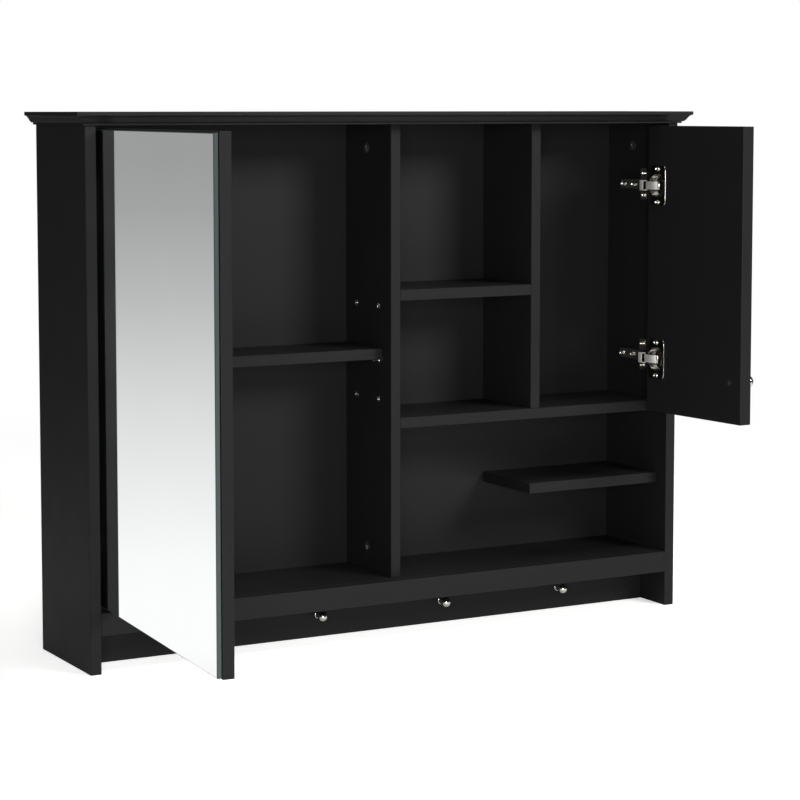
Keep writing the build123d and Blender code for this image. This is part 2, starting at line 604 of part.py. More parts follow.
def knob(face_at, out, diameter, length, collar):
    """A turned knob: collar, waist and rounded head, with a blind screw hole."""
    up = (Align.CENTER, Align.CENTER, Align.MIN)
    head_h = length * KNOB_HEAD_SHARE
    head_cyl = Pos(0, 0, length - head_h) * Cylinder(diameter / 2, head_h, align=up)
    rims = head_cyl.edges().filter_by(GeomType.CIRCLE).sort_by(Axis.Z)
    head = fillet(rims[-1], min(head_h * 0.55, diameter * 0.4))
    rims = head.edges().filter_by(GeomType.CIRCLE).sort_by(Axis.Z)
    head = fillet(rims[0], min(head_h * 0.38, diameter * 0.3))
    waist = Cylinder(collar * KNOB_WAIST_SHARE, length - head_h / 2, align=up)
    foot = Cylinder(collar / 2, KNOB_COLLAR_T, align=up)
    foot = chamfer(foot.edges().filter_by(GeomType.CIRCLE).sort_by(Axis.Z)[-1], 0.8)
    body = head + waist + foot
    hole = Cylinder(KNOB_SCREW_D / 2 + KNOB_SCREW_FIT, KNOB_SCREW_BITE + JOINT_DEPTH_END,
                    align=(Align.CENTER, Align.CENTER, Align.MIN))
    return Plane(origin=face_at, z_dir=out) * (body - hole)


def knob_screw(face_at, out, through):
    """Screw from the far face of a panel of the given thickness into the knob."""
    head_at = Vector(*face_at) - Vector(*out) * through
    shank = rod(head_at, out, KNOB_SCREW_D, through + KNOB_SCREW_BITE)
    head = rod(head_at, Vector(*out) * -1, KNOB_SCREW_HEAD_D, KNOB_SCREW_HEAD_T)
    room = rod(head_at - Vector(*out), out, KNOB_SCREW_D + 2 * KNOB_SCREW_FIT, through + 2)
    return (shank + head).solid(), room


# the mirrored door on the left
left_w = LONG_DIVIDER_X + DOOR_LAP - INNER_L - DOOR_SIDE_GAP
left_panel = hang("left", door_panel(left_w, left_z0, GLASS_T + GLASS_BED), left_z0)
put("left_door_panel", swing(left_panel))
glass_x0 = INNER_L + DOOR_SIDE_GAP + GLASS_INSET
glass_x1 = glass_x0 + left_w - 2 * GLASS_INSET
mirror_glass = box(glass_x0, glass_x1, 0, GLASS_T, left_z0 + GLASS_INSET, door_z1 - GLASS_INSET)
put("left_door_mirror", swing(eased(mirror_glass, 0.5)))
tapes = []
for i in range(TAPE_STRIPS):
    span = glass_x1 - glass_x0 - 2 * TAPE_INSET - TAPE_W
    x = glass_x0 + TAPE_INSET + span * i / (TAPE_STRIPS - 1)
    tapes.append(swing(box(x, x + TAPE_W, GLASS_T, GLASS_T + GLASS_BED,
                           left_z0 + TAPE_INSET, door_z1 - TAPE_INSET)))
put("mirror_tapes", *tapes)

# the small door on the right, built as a left one and then mirrored
right_w = WIDTH - INNER_L - DOOR_SIDE_GAP - (SHORT_DIVIDER_X + BOARD - DOOR_LAP)
right_panel = hang("right", door_panel(right_w, right_z0, 0), right_z0)
knob_at = (INNER_L + DOOR_SIDE_GAP + right_w - DOOR_KNOB_FROM_EDGE, 0, right_z0 + DOOR_KNOB_UP)
door_screw, screw_way = knob_screw(knob_at, (0, -1, 0), DOOR_T)
put("right_door_panel", flip(swing(right_panel - screw_way)))
put("door_knob", flip(swing(knob(
    knob_at, (0, -1, 0), DOOR_KNOB_D, DOOR_KNOB_OUT, DOOR_COLLAR_D))))
put("door_knob_screw", flip(swing(door_screw)))

# ---- towel knobs -------------------------------------------------------------------
rail_screws = []
for i in range(TOWEL_KNOBS):
    x = WIDTH / 2 + (i - (TOWEL_KNOBS - 1) / 2) * TOWEL_KNOB_PITCH
    at = (x, KNOB_RAIL_Y, TOWEL_KNOB_Z)
    put(f"towel_knob_{i + 1}", knob(
        at, (0, -1, 0), TOWEL_KNOB_D, TOWEL_KNOB_OUT, TOWEL_COLLAR_D))
    solid, room = knob_screw(at, (0, -1, 0), BOARD)
    rail_screws.append(solid)
    boards["towel_knob_rail"] -= room
put("towel_knob_screws", *rail_screws)

for name, solid in boards.items():
    put(name, solid.solid())

os.makedirs("parts", exist_ok=True)
for name, shape in nodes.items():
    export_step(shape, f"parts/{name}.step")
print(len(nodes), "nodes written")
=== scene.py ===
import json
import math

import bpy
import bmesh
import numpy as np
from bpy.props import FloatProperty, FloatVectorProperty, IntProperty, PointerProperty
from bpy.types import Operator, Panel, PropertyGroup
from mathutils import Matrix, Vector


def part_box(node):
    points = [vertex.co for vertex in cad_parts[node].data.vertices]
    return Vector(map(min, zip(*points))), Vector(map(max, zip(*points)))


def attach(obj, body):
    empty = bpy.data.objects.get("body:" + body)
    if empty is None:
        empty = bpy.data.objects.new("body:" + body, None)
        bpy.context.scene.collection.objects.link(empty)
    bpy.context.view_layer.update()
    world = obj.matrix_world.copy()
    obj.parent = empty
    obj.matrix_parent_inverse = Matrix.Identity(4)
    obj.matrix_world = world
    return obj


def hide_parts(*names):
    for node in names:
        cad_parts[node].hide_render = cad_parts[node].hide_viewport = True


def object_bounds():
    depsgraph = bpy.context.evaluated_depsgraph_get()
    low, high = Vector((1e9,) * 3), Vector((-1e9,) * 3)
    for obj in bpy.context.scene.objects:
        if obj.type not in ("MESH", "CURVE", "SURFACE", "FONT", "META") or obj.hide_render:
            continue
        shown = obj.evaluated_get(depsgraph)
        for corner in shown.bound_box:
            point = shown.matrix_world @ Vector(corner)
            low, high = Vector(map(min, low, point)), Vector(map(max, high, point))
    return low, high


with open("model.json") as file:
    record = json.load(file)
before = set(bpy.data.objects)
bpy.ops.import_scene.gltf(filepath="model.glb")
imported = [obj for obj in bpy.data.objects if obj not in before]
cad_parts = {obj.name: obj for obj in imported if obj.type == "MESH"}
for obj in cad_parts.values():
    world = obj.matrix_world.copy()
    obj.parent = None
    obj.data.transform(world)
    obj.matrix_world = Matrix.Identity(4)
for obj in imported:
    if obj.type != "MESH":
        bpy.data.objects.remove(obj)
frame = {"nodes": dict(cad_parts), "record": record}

bl_info = {
    "name": "Bathroom wall cabinet",
    "version": (1, 0, 0),
    "blender": (4, 5, 0),
    "location": "View3D > Sidebar > Cabinet",
    "description": "Finishes and turned parts of a black wall cabinet with a mirror door",
    "category": "Object",
}

MM = 0.001
CAD_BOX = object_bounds()
FLOOR_GAP = 0.2 * MM
FLOOR_RADIUS = 3.0
CAMERA_PLACE = (-1.5684, -3.0006, 0.0636)
CAMERA_PITCH_DEG = -4.93
CAMERA_TURN = -0.50748
CAMERA_LENS = 107.1
CAMERA_SHIFT = (-0.0042, -0.11)
# azimuth, elevation, distance, width and height of each softbox
KEY_PLACE = (30.0, 27.0, 3.4, 1.1, 0.9)
FILL_PLACE = (-29.0, 5.0, 4.0, 1.2, 1.2)
TOP_PLACE = (0.0, 80.0, 2.6, 2.4, 1.6)
ROOM_STRENGTH = 0.2
BACKDROP_STRENGTH = 1.06
FLOOR_GLOW = 0.55
FLOOR_FADE = (0.35, 0.95)  # shares of its radius between which the floor thins out
FLOOR_CORNERS = 96
FLANGE_SQUARENESS = 9.0    # power of the outline: 2 is an ellipse, more is squarer
CUP_FOOT_R = 1.6 * MM
CUP_MOUTH_R = 0.9 * MM
CUP_BASE_EASE = 1.0 * MM
# a knob's waist as a share of its collar's radius, its head and shoulder as shares of
# its length, and its collar as a share of its own radius
KNOB_WAIST = 0.6
KNOB_HEAD_LOW = 0.46
KNOB_SHOULDER = 0.26
DOOR_COLLAR = 0.63
TOWEL_COLLAR = 0.78
# what a flat mirror shows: the sine of the angle below eye level, and the tone there
BACKDROP_TONES = (
    (0.45, "#bcbcbc"), (0.29, "#d6d6d6"), (0.225, "#ffffff"), (0.2045, "#ffffff"),
    (0.187, "#fcfcfc"), (0.163, "#f1f1f1"), (0.1236, "#dcdcdc"), (0.082, "#bebebe"),
    (0.042, "#a5a5a5"), (0.021, "#9e9e9e"))


def linear(hex_colour):
    """An sRGB hex value as linear red, green, blue."""
    shown = np.array([int(hex_colour[i:i + 2], 16) for i in (1, 3, 5)]) / 255
    return tuple(np.where(shown <= 0.04045, shown / 12.92, ((shown + 0.055) / 1.055) ** 2.4))


def colour(name, hex_colour, description):
    return FloatVectorProperty(
        name=name, description=description, default=linear(hex_colour), subtype="COLOR",
        min=0.0, max=1.0)


def millimetres(name, size, description):
    """A length property in metres, given in millimetres."""
    return FloatProperty(
        name=name, description=description, default=size * MM, unit="LENGTH", precision=5,
        min=0.0)


# ---- materials -----------------------------------------------------------------

def node(tree, kind, settings, **links):
    """Adds one node: settings name its properties or input sockets, links name the
    sockets that feed its inputs, with two underscores for a space."""
    made = tree.nodes.new(kind)
    for key, value in settings.items():
        if isinstance(key, str) and hasattr(made, key):
            setattr(made, key, value)
        else:
            made.inputs[key].default_value = value
    for key, source in links.items():
        socket = int(key[1:]) if key[0] == "_" else key.replace("__", " ")
        tree.links.new(source, made.inputs[socket])
    return made


def material(name, shader_settings):
    """A material with one Principled shader, and its tree and shader."""
    made = bpy.data.materials.new(name)
    made.use_nodes = True
    tree = made.node_tree
    tree.nodes.clear()
    shader = node(tree, "ShaderNodeBsdfPrincipled", shader_settings)
    node(tree, "ShaderNodeOutputMaterial", {}, Surface=shader.outputs["BSDF"])
    return made, tree, shader


def spread(tree, source, low, high):
    """A 0 to 1 value brought to the range low to high."""
    return node(tree, "ShaderNodeMapRange", {"To Min": low, "To Max": high},
                Value=source).outputs["Result"]


def speckle(tree, size_mm, detail, stretch=(1.0, 1.0, 1.0), roughness=0.5):
    """Noise on the object's own coordinates, with blobs about size_mm across and
    longer by each axis's stretch."""
    where = node(tree, "ShaderNodeTexCoord", {}).outputs["Object"]
    scale = tuple(1.0 / (size_mm * MM * s) for s in stretch)
    placed = node(tree, "ShaderNodeMapping", {"Scale": scale}, Vector=where).outputs["Vector"]
    return node(tree, "ShaderNodeTexNoise",
                {"Scale": 1.0, "Detail": detail, "Roughness": roughness},
                Vector=placed).outputs["Fac"]


def tint(tree, source, low, high):
    """A colour between two linear colours, chosen by a 0 to 1 value."""
    mixed = node(tree, "ShaderNodeMix", {"data_type": "RGBA"}, _0=source)
    mixed.inputs[6].default_value = (*low, 1)
    mixed.inputs[7].default_value = (*high, 1)
    return mixed.outputs[2]


def relief(tree, shader, height, depth_mm):
    """Lets a 0 to 1 value raise the surface by up to depth_mm."""
    bump = node(tree, "ShaderNodeBump", {"Strength": 1.0, "Distance": depth_mm * MM},
                Height=height)
    tree.links.new(bump.outputs["Normal"], shader.inputs["Normal"])


def lacquered_board(grain):
    """Satin black lacquer sprayed on veneered board: soft wide highlights, and the
    veneer's closed grain just showing through along the board."""
    look = bpy.context.scene.cabinet_finish
    made, tree, shader = material(
        f"satin black lacquered board, grain {grain}",
        {"IOR": 1.47, "Roughness": 0.5, "Specular IOR Level": 0.16})
    along = {"x": (60.0, 1.0, 1.0), "y": (1.0, 60.0, 1.0), "z": (1.0, 1.0, 60.0)}[grain]
    pores = speckle(tree, 1.6, 3.0, along, 0.6)
    cloud = speckle(tree, 90.0, 2.0)
    tree.links.new(tint(tree, pores, look.lacquer_dark, look.lacquer_light),
                   shader.inputs["Base Color"])
    mixed = node(tree, "ShaderNodeMath", {"operation": "MULTIPLY_ADD", 1: 0.5},
                 _0=pores, _2=cloud).outputs[0]
    tree.links.new(spread(tree, mixed, look.lacquer_gloss_low, look.lacquer_gloss_high),
                   shader.inputs["Roughness"])
    peel = speckle(tree, 3.0, 1.0)
    both = node(tree, "ShaderNodeMath", {"operation": "MULTIPLY_ADD", 1: 0.8},
                _0=pores, _2=peel).outputs[0]
    relief(tree, shader, both, 0.012)
    return made


def faced_hardboard():
    """Hardboard with a printed black face: flatter than the lacquer, with a faint fleck."""
    made, tree, shader = material(
        "black faced hardboard", {"IOR": 1.5, "Roughness": 0.5, "Specular IOR Level": 0.16})
    fleck = speckle(tree, 0.9, 4.0)
    tree.links.new(tint(tree, fleck, linear("#131314"), linear("#1a1a1b")),
                   shader.inputs["Base Color"])
    tree.links.new(spread(tree, fleck, 0.42, 0.56), shader.inputs["Roughness"])
    relief(tree, shader, fleck, 0.01)
    return made


def plated_metal(name, light, dark, rough_low, rough_high, blob_mm, depth_mm):
    """Plated or cast metal: two close shades and a gloss that wander together, so a
    highlight has a slightly broken edge.  blob_mm is the size of the wander."""
    made, tree, shader = material(name, {"Metallic": 1.0})
    cloud = speckle(tree, blob_mm, 3.0)
    tree.links.new(tint(tree, cloud, linear(dark), linear(light)), shader.inputs["Base Color"])
    tree.links.new(spread(tree, cloud, rough_low, rough_high), shader.inputs["Roughness"])
    relief(tree, shader, cloud, depth_mm)
    return made


def silvered_glass():
    """Silvered float glass: a clean cold reflection a little darker than what it shows."""
    made, tree, shader = material(
        "silvered float glass", {"Metallic": 1.0, "Roughness": 0.0})
    cloud = speckle(tree, 120.0, 1.0)
    tree.links.new(tint(tree, cloud, linear("#f1f4f3"), linear("#f5f7f6")),
                   shader.inputs["Base Color"])
    return made


def ground_glass_edge():
    """The seamed edge of the glass: frosted by the belt, dark over the black door."""
    made, tree, shader = material(
        "seamed glass edge", {"IOR": 1.52, "Roughness": 0.35})
    grit = speckle(tree, 0.5, 2.0)
    tree.links.new(tint(tree, grit, linear("#1e2425"), linear("#3c4646")),
                   shader.inputs["Base Color"])
    relief(tree, shader, grit, 0.02)
    return made


def backing_paint():
    """Grey paint over the silver on the back of the mirror: flat and slightly uneven."""
    made, tree, shader = material("grey mirror backing paint", {"Roughness": 0.6})
    cloud = speckle(tree, 4.0, 3.0)
    tree.links.new(tint(tree, cloud, linear("#4a4d50"), linear("#565a5d")),
                   shader.inputs["Base Color"])
    return made


def beech():
    """Bare beech dowel: pale, with short darker flecks along the grain."""
    made, tree, shader = material("bare beech", {"Roughness": 0.62})
    fleck = speckle(tree, 0.7, 3.0, (6.0, 1.0, 1.0))
    tree.links.new(tint(tree, fleck, linear("#b98f60"), linear("#d8b78a")),
                   shader.inputs["Base Color"])
    relief(tree, shader, fleck, 0.03)
    return made


def foam_tape():
    """Black foam mounting tape: matt, with fine open cells."""
    made, tree, shader = material("black foam tape", {"Roughness": 0.9})
    cell = speckle(tree, 0.4, 2.0)
    tree.links.new(tint(tree, cell, linear("#141414"), linear("#2a2a2a")),
                   shader.inputs["Base Color"])
    relief(tree, shader, cell, 0.06)
    return made


# ---- surfaces ------------------------------------------------------------------

def mesh_piece(name, points, faces, materials, body, sharp_deg=35.0):
    """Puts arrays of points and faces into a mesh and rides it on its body.
    faces is a list of (array of corner indices, material index)."""
    mesh = bpy.data.meshes.new(name)
    listed = [row for block, _ in faces for row in np.asarray(block).tolist()]
    which = np.concatenate([np.full(len(block), index) for block, index in faces])
    mesh.from_pydata(np.asarray(points, float).tolist(), [], listed)
    for made in materials:
        mesh.materials.append(made)
    mesh.polygons.foreach_set("material_index", which.astype(np.int32))
    mesh.polygons.foreach_set("use_smooth", np.ones(len(listed), bool))
    mesh.validate()
    mesh.set_sharp_from_angle(angle=math.radians(sharp_deg))
    piece = bpy.data.objects.new(name, mesh)
    bpy.context.scene.collection.objects.link(piece)
    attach(piece, body)
    return piece


def strip_faces(rows, columns, wrap):
    """Corner indices of the quads of a rows by columns grid; wrap joins the last column
    to the first."""
    r = np.arange(rows - 1)[:, None]
    c = np.arange(columns if wrap else columns - 1)[None, :]
    d = (c + 1) % columns
    quads = np.stack([r * columns + c, r * columns + d, (r + 1) * columns + d,
                      (r + 1) * columns + c], -1)
    return quads.reshape(-1, 4)


def turned(name, profile, origin, axis, materials, body, segments=64):
    """A closed surface of revolution.  profile is rows of (radius, height) from one pole
    to the other, and the point at turn t is origin + radius (u cos t + v sin t) +
    height axis, with u, v and axis at right angles."""
    axis = Vector(axis).normalized()
    u = axis.orthogonal().normalized()
    v = axis.cross(u)
    t = np.linspace(0, 2 * math.pi, segments, endpoint=False)
    ring = np.cos(t)[:, None] * np.array(u) + np.sin(t)[:, None] * np.array(v)
    body_rows = profile[1:-1]
    grid = (np.array(origin) + body_rows[:, 0, None, None] * ring[None]
            + body_rows[:, 1, None, None] * np.array(axis))
    poles = np.array(origin) + profile[[0, -1], 1, None] * np.array(axis)
    count = len(body_rows) * segments
    points = np.concatenate([grid.reshape(-1, 3), poles])
    i = np.arange(segments)
    j = (i + 1) % segments
    last = (len(body_rows) - 1) * segments
    low_fan = np.stack([np.full(segments, count), j, i], -1)
    high_fan = np.stack([np.full(segments, count + 1), last + i, last + j], -1)
    faces = [(strip_faces(len(body_rows), segments, True), 0), (low_fan, 0), (high_fan, 0)]
    return mesh_piece(name, points, faces, materials, body)


def body_of(name):
    """The body that holds a CAD node."""
    bodies = frame["record"]["behaviour"]["bodies"]
    return next(body for body, nodes in bodies.items() if name in nodes)


def corners_of(name):
    """Corner coordinates of a CAD node, one row each."""
    source = frame["nodes"][name].data
    flat = np.empty(len(source.vertices) * 3, np.float32)
    source.vertices.foreach_get("co", flat)
    return flat.reshape(-1, 3).astype(float)


def door_axes(panel):
    """Level unit vectors along a door's width, from its hinge, and out of its inner face."""
    co = corners_of(panel)
    plan = co[:, :2] - (co[:, :2].min(0) + co[:, :2].max(0)) / 2
    _, vectors = np.linalg.eigh(plan.T @ plan)
    along = np.array([*vectors[:, 1], 0.0])
    along *= -1.0 if along[1] > 0 else 1.0
    inward = np.array([*vectors[:, 0], 0.0])
    inward *= np.sign(-co[:, 0].mean() * inward[0])
    return along, inward


def rounded_copy(name, label, radius, materials, choose):
    """A copy of a CAD piece with its sharp edges rounded over, which takes its place.
    choose gives a face's material index from its centre and normal."""
    mesh = frame["nodes"][name].data.copy()
    shape = bmesh.new()
    shape.from_mesh(mesh)
    bmesh.ops.remove_doubles(shape, verts=shape.verts, dist=0.005 * MM)
    bmesh.ops.dissolve_limit(shape, angle_limit=math.radians(1.0), verts=shape.verts,
                             edges=shape.edges)
    sharp = [e for e in shape.edges
             if e.is_manifold and e.calc_face_angle(0.0) > math.radians(35.0)]
    bmesh.ops.bevel(shape, geom=sharp, offset=radius, segments=2, profile=0.5,
                    affect="EDGES", clamp_overlap=True)
    for face in shape.faces:
        face.smooth = True
        face.material_index = choose(face.calc_center_median(), face.normal)
    bmesh.ops.triangulate(shape, faces=shape.faces)
    mesh.materials.clear()
    for made in materials:
        mesh.materials.append(made)
    shape.to_mesh(mesh)
    shape.free()
    mesh.set_sharp_from_angle(angle=math.radians(50.0))
    piece = bpy.data.objects.new(label, mesh)
    bpy.context.scene.collection.objects.link(piece)
    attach(piece, body_of(name))
    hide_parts(name)
    return piece


def arc(centre, radius, start_deg, end_deg, steps):
    """Points of an arc: centre + radius (cos a, sin a)."""
    a = np.radians(np.linspace(start_deg, end_deg, steps))
    return np.array(centre) + np.array(radius) * np.stack([np.cos(a), np.sin(a)], -1)


# ---- sizes and colours ---------------------------------------------------------

class CabinetFinish(PropertyGroup):
    lacquer_dark: colour("Lacquer, dark", "#121213", "Satin black lacquer in the grain")
    lacquer_light: colour("Lacquer, light", "#18181a", "Satin black lacquer between the grain")
    lacquer_gloss_low: FloatProperty(
        name="Roughness, glossiest", description="Roughness of the lacquer where it is glossiest",
        default=0.42, min=0.0, max=1.0, subtype="FACTOR")
    lacquer_gloss_high: FloatProperty(
        name="Roughness, flattest", description="Roughness of the lacquer where it is flattest",
        default=0.56, min=0.0, max=1.0, subtype="FACTOR")


class CabinetTop(PropertyGroup):
    foot_out: millimetres("Foot projection", 4.0, "How far the lowest fillet stands out")
    foot_high: millimetres("Foot height", 2.6, "Height of the lowest fillet")
    lip_high: millimetres("Lip height", 5.0, "Height of the square lip at the top")
    arris: millimetres("Arris", 0.9, "Rounding of the lip's edges")
    cyma: FloatProperty(name="Cyma", description="Depth of the S in the moulding",
                        default=0.72, min=0.0, max=0.95)


class CabinetMirror(PropertyGroup):
    seam: millimetres("Seam", 1.0, "Width of the seamed edge of the glass")


class CabinetKnobs(PropertyGroup):
    segments: IntProperty(name="Segments", description="Facets round a turned knob",
                          default=72, min=12, max=256)
    collar: millimetres("Collar", 2.2, "Thickness of a knob's collar")


class CabinetHinges(PropertyGroup):
    cup: millimetres("Cup", 35.0, "Outer diameter of the hinge cup")
    wall: millimetres("Wall", 0.9, "Wall of the cup")
    flange: millimetres("Flange", 1.2, "Thickness of the flange")
    rim: millimetres("Rim", 2.4, "Width of the flange's rolled rim")
    # the nose is the part of the arm given the pale satin copy of its plating, a painted highlight
    # where the light falls
    nose: millimetres("Nose", 14.0, "Length of the arm's satin nose")
    edge: millimetres("Edge", 0.35, "Rounding of the pressed edges")
    segments: IntProperty(name="Segments", description="Facets round a cup",
                          default=96, min=24, max=256)


class CabinetFixings(PropertyGroup):
    cam_edge: millimetres("Cam edge", 0.7, "Rounding of the cast cams' edges")


class CabinetStage(PropertyGroup):
    floor_colour: colour("Floor", "#f4f4f2", "Pale studio floor")
    key_power: FloatProperty(name="Key", description="Power of the soft light in front",
                             default=95.0, min=0.0, unit="POWER")
    fill_power: FloatProperty(name="Fill", description="Power of the soft light at the left",
                              default=115.0, min=0.0, unit="POWER")
    top_power: FloatProperty(name="Top", description="Power of the soft light above",
                             default=60.0, min=0.0, unit="POWER")


# ---- operators -----------------------------------------------------------------

GRAIN_X = ("moulded_top", "bottom_board", "middle_board", "open_bay_shelf", "niche_shelf",
           "adjustable_shelf", "front_rail", "towel_knob_rail", "hanging_rail",
           "lower_back_rail")
GRAIN_Z = ("side_panel_left", "side_panel_right", "long_divider", "short_divider",
           "left_door_panel", "right_door_panel")


def finish_nodes(names, made):
    """Gives CAD nodes a material, with their meshes as they are."""
    for name in names:
        mesh = frame["nodes"][name].data
        mesh.materials.clear()
        mesh.materials.append(made)


class CABINET_OT_boards(Operator):
    """Lacquers the boards and doors and faces the back panel"""
    bl_idname = "cabinet.boards"
    bl_label = "Boards and doors"

    def execute(self, context):
        finish_nodes(GRAIN_X, lacquered_board("x"))
        finish_nodes(GRAIN_Z, lacquered_board("z"))
        finish_nodes(["back_panel"], faced_hardboard())
        return {"FINISHED"}


def moulding_profile(top, thickness, overhang):
    """Rows of (out, up) from the underside of the foot to the top of the lip: a square
    fillet, a cyma whose height is t - k sin(2 pi t) / (2 pi), and a lip with two
    rounded edges."""
    lip_low = thickness - top.lip_high
    step = top.foot_out + 1.0 * MM
    nose = overhang - 0.8 * MM
    t = np.linspace(0, 1, 28)
    rise = t - top.cyma * np.sin(2 * math.pi * t) / (2 * math.pi)
    cyma = np.stack([step + (nose - step) * t,
                     top.foot_high + (lip_low - top.foot_high) * rise], -1)
    r = top.arris
    foot = np.concatenate([
        [[top.foot_out - 0.4 * MM, 0.0]],
        arc((top.foot_out - 0.4 * MM, 0.4 * MM), 0.4 * MM, -90, 0, 5),
        arc((top.foot_out - 0.5 * MM, top.foot_high - 0.5 * MM), 0.5 * MM, 0, 90, 6)])
    lip = np.concatenate([
        arc((overhang - 0.5 * MM, lip_low + 0.5 * MM), 0.5 * MM, -90, 0, 5),
        arc((overhang - r, thickness - r), r, 0, 90, 8)])
    return np.concatenate([foot, cyma, lip])


class CABINET_OT_moulded_top(Operator):
    """Runs the moulding round the left end, front and right end of the top, with mitred corners"""
    bl_idname = "cabinet.moulded_top"
    bl_label = "Moulded top"

    def execute(self, context):
        low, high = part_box("moulded_top")
        side_low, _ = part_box("side_panel_left")
        _, side_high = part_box("side_panel_right")
        overhang = side_low.x - low.x
        section = moulding_profile(context.scene.cabinet_top, high.z - low.z, overhang)
        out = section[:, 0]
        z = low.z + section[:, 1]
        back = np.full(len(out), high.y)
        front = side_low.y - out
        left = side_low.x - out
        right = side_high.x + out
        path = np.stack([
            np.stack([left, back, z], -1), np.stack([left, front, z], -1),
            np.stack([right, front, z], -1), np.stack([right, back, z], -1)], 1)
        rows = len(out)
        quads = strip_faces(rows, 4, False)
        top = np.array([[(rows - 1) * 4 + k for k in range(4)]])
        under = np.array([[3, 2, 1, 0]])
        rising = np.arange(rows) * 4
        end = np.concatenate([rising, (rising + 3)[::-1]])[None]
        piece = mesh_piece(
            "moulded_top_board", path.reshape(-1, 3),
            [(quads, 0), (top, 0), (under, 0), (end, 0)],
            [bpy.data.materials["satin black lacquered board, grain x"]],
            body_of("moulded_top"), 32.0)
        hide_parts("moulded_top")
        return {"FINISHED"}


class CABINET_OT_mirror(Operator):
    """Makes the mirror plate with its seamed edge, and blackens the tape behind it"""
    bl_idname = "cabinet.mirror"
    bl_label = "Mirror"

    def execute(self, context):
        seam = context.scene.cabinet_mirror.seam
        co = corners_of("left_door_mirror")
        along, inward = door_axes("left_door_panel")
        face = -inward
        middle = (co.min(0) + co.max(0)) / 2
        half = [np.abs((co - middle) @ axis).max() for axis in (along, (0, 0, 1), face)]
        rings = []
        for inset, depth in ((0.0, -half[2]), (0.0, half[2] - 0.6 * seam), (seam, half[2])):
            a, b = half[0] - inset, half[1] - inset
            corner = np.array([[-a, -b], [a, -b], [a, b], [-a, b]])
            rings.append(middle + corner[:, :1] * along + corner[:, 1:] * np.array([0, 0, 1.0])
                         + depth * face)
        points = np.concatenate(rings)
        outward = np.cross(along, [0, 0, 1.0]) @ face > 0
        turn = 1 if outward else -1
        walls = strip_faces(3, 4, True)[:, ::turn]
        shown = np.array([[8, 9, 10, 11]])[:, ::turn]
        hidden = np.array([[3, 2, 1, 0]])[:, ::turn]
        piece = mesh_piece(
            "mirror_plate", points, [(shown, 0), (walls, 1), (hidden, 2)],
            [silvered_glass(), ground_glass_edge(), backing_paint()],
            body_of("left_door_mirror"), 20.0)
        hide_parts("left_door_mirror")
        finish_nodes(["mirror_tapes"], foam_tape())
        return {"FINISHED"}


def knob_profile(radius, length, collar_radius, collar):
    """Rows of (radius, height) from the foot's centre to the crown: a collar with a
    rounded edge, a waist that narrows as a half cosine, and a head whose shoulder is an
    arc and whose face is a shallow dome."""
    waist = KNOB_WAIST * collar_radius
    head_low = KNOB_HEAD_LOW * length
    shoulder = KNOB_SHOULDER * length
    foot = np.concatenate([
        [[0.0, 0.0], [collar_radius, 0.0]],
        arc((collar_radius - 0.4 * collar, collar * 0.6), 0.4 * collar, 0, 90, 6)])
    t = np.linspace(0, 1, 12)[1:]
    neck_top = head_low + 0.1 * shoulder
    start = collar_radius - 0.5 * collar
    neck = np.stack([
        waist + (start - waist) * (0.5 + 0.5 * np.cos(math.pi * np.minimum(t * 1.4, 1))),
        collar + (neck_top - collar) * t], -1)
    under = arc((waist, head_low + shoulder * 0.72), (radius - waist, shoulder * 0.62),
                -90, 0, 12)[1:]
    crown_low = under[-1, 1]
    crown = arc((0.0, crown_low), (radius, length - crown_low), 0, 90, 18)[1:]
    crown[-1, 0] = 0.0
    return np.concatenate([foot, neck, under, crown])


def node_centre_line(name, axis):
    """Foot centre, length and greatest radius of a round CAD node along a level axis."""
    co = corners_of(name)
    axis = np.array(axis, float)
    side = np.cross(axis, [0, 0, 1.0])
    along = co @ axis
    across = co @ side
    foot = axis * along.min() + side * (across.min() + across.max()) / 2
    foot[2] = (co[:, 2].min() + co[:, 2].max()) / 2
    return foot, along.max() - along.min(), (co[:, 2].max() - co[:, 2].min()) / 2


class CABINET_OT_knobs(Operator):
    """Turns the door knob and the row of towel knobs"""
    bl_idname = "cabinet.knobs"
    bl_label = "Knobs"

    def execute(self, context):
        look = context.scene.cabinet_knobs
        # mirror-like nickel over polished zinc: small hard highlights
        nickel = plated_metal("polished nickel plate", "#dcd9d3", "#cfcbc4",
                              0.08, 0.16, 6.0, 0.004)
        names = sorted(n for n in frame["nodes"]
                       if n[-1].isdigit() and n.startswith("towel_knob_"))
        out = -door_axes("right_door_panel")[1]
        for name, axis, collar_share in (
                [("door_knob", out, DOOR_COLLAR)]
                + [(n, (0, -1, 0), TOWEL_COLLAR) for n in names]):
            foot, length, radius = node_centre_line(name, axis)
            profile = knob_profile(radius, length, radius * collar_share, look.collar)
            piece = turned(f"turned_{name}", profile, foot, axis, [nickel], body_of(name),
                           look.segments)
            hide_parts(name)
        return {"FINISHED"}


def cup_rows(cup_radius, wall, depth, flange, rim):
    """Rows of (share, radius or inset, height) of a hinge cup, from the floor inside,
    up the bowl, over the flange and down the outside to the foot.  Share 1 is the
    flange's outline less an inset, and share 0 is a circle of that radius."""
    bowl = cup_radius - wall
    floor = -depth + wall
    inside = arc((bowl - CUP_FOOT_R, floor + CUP_FOOT_R), CUP_FOOT_R, -90, 0, 6)
    mouth = arc((bowl + CUP_MOUTH_R, flange - CUP_MOUTH_R), CUP_MOUTH_R, 180, 90, 6)
    roll = arc((0.0, 0.0), (rim, flange), 90, 0, 8)
    rows = [(0.0, 0.0, floor)]
    rows += [(0.0, r, h) for r, h in (*inside, *mouth)]
    rows += [(1.0, rim - x, h) for x, h in roll]
    rows += [(0.0, cup_radius, 0.0), (0.0, cup_radius, CUP_BASE_EASE - depth),
             (0.0, cup_radius - CUP_BASE_EASE, -depth), (0.0, 0.0, -depth)]
    return np.array(rows)


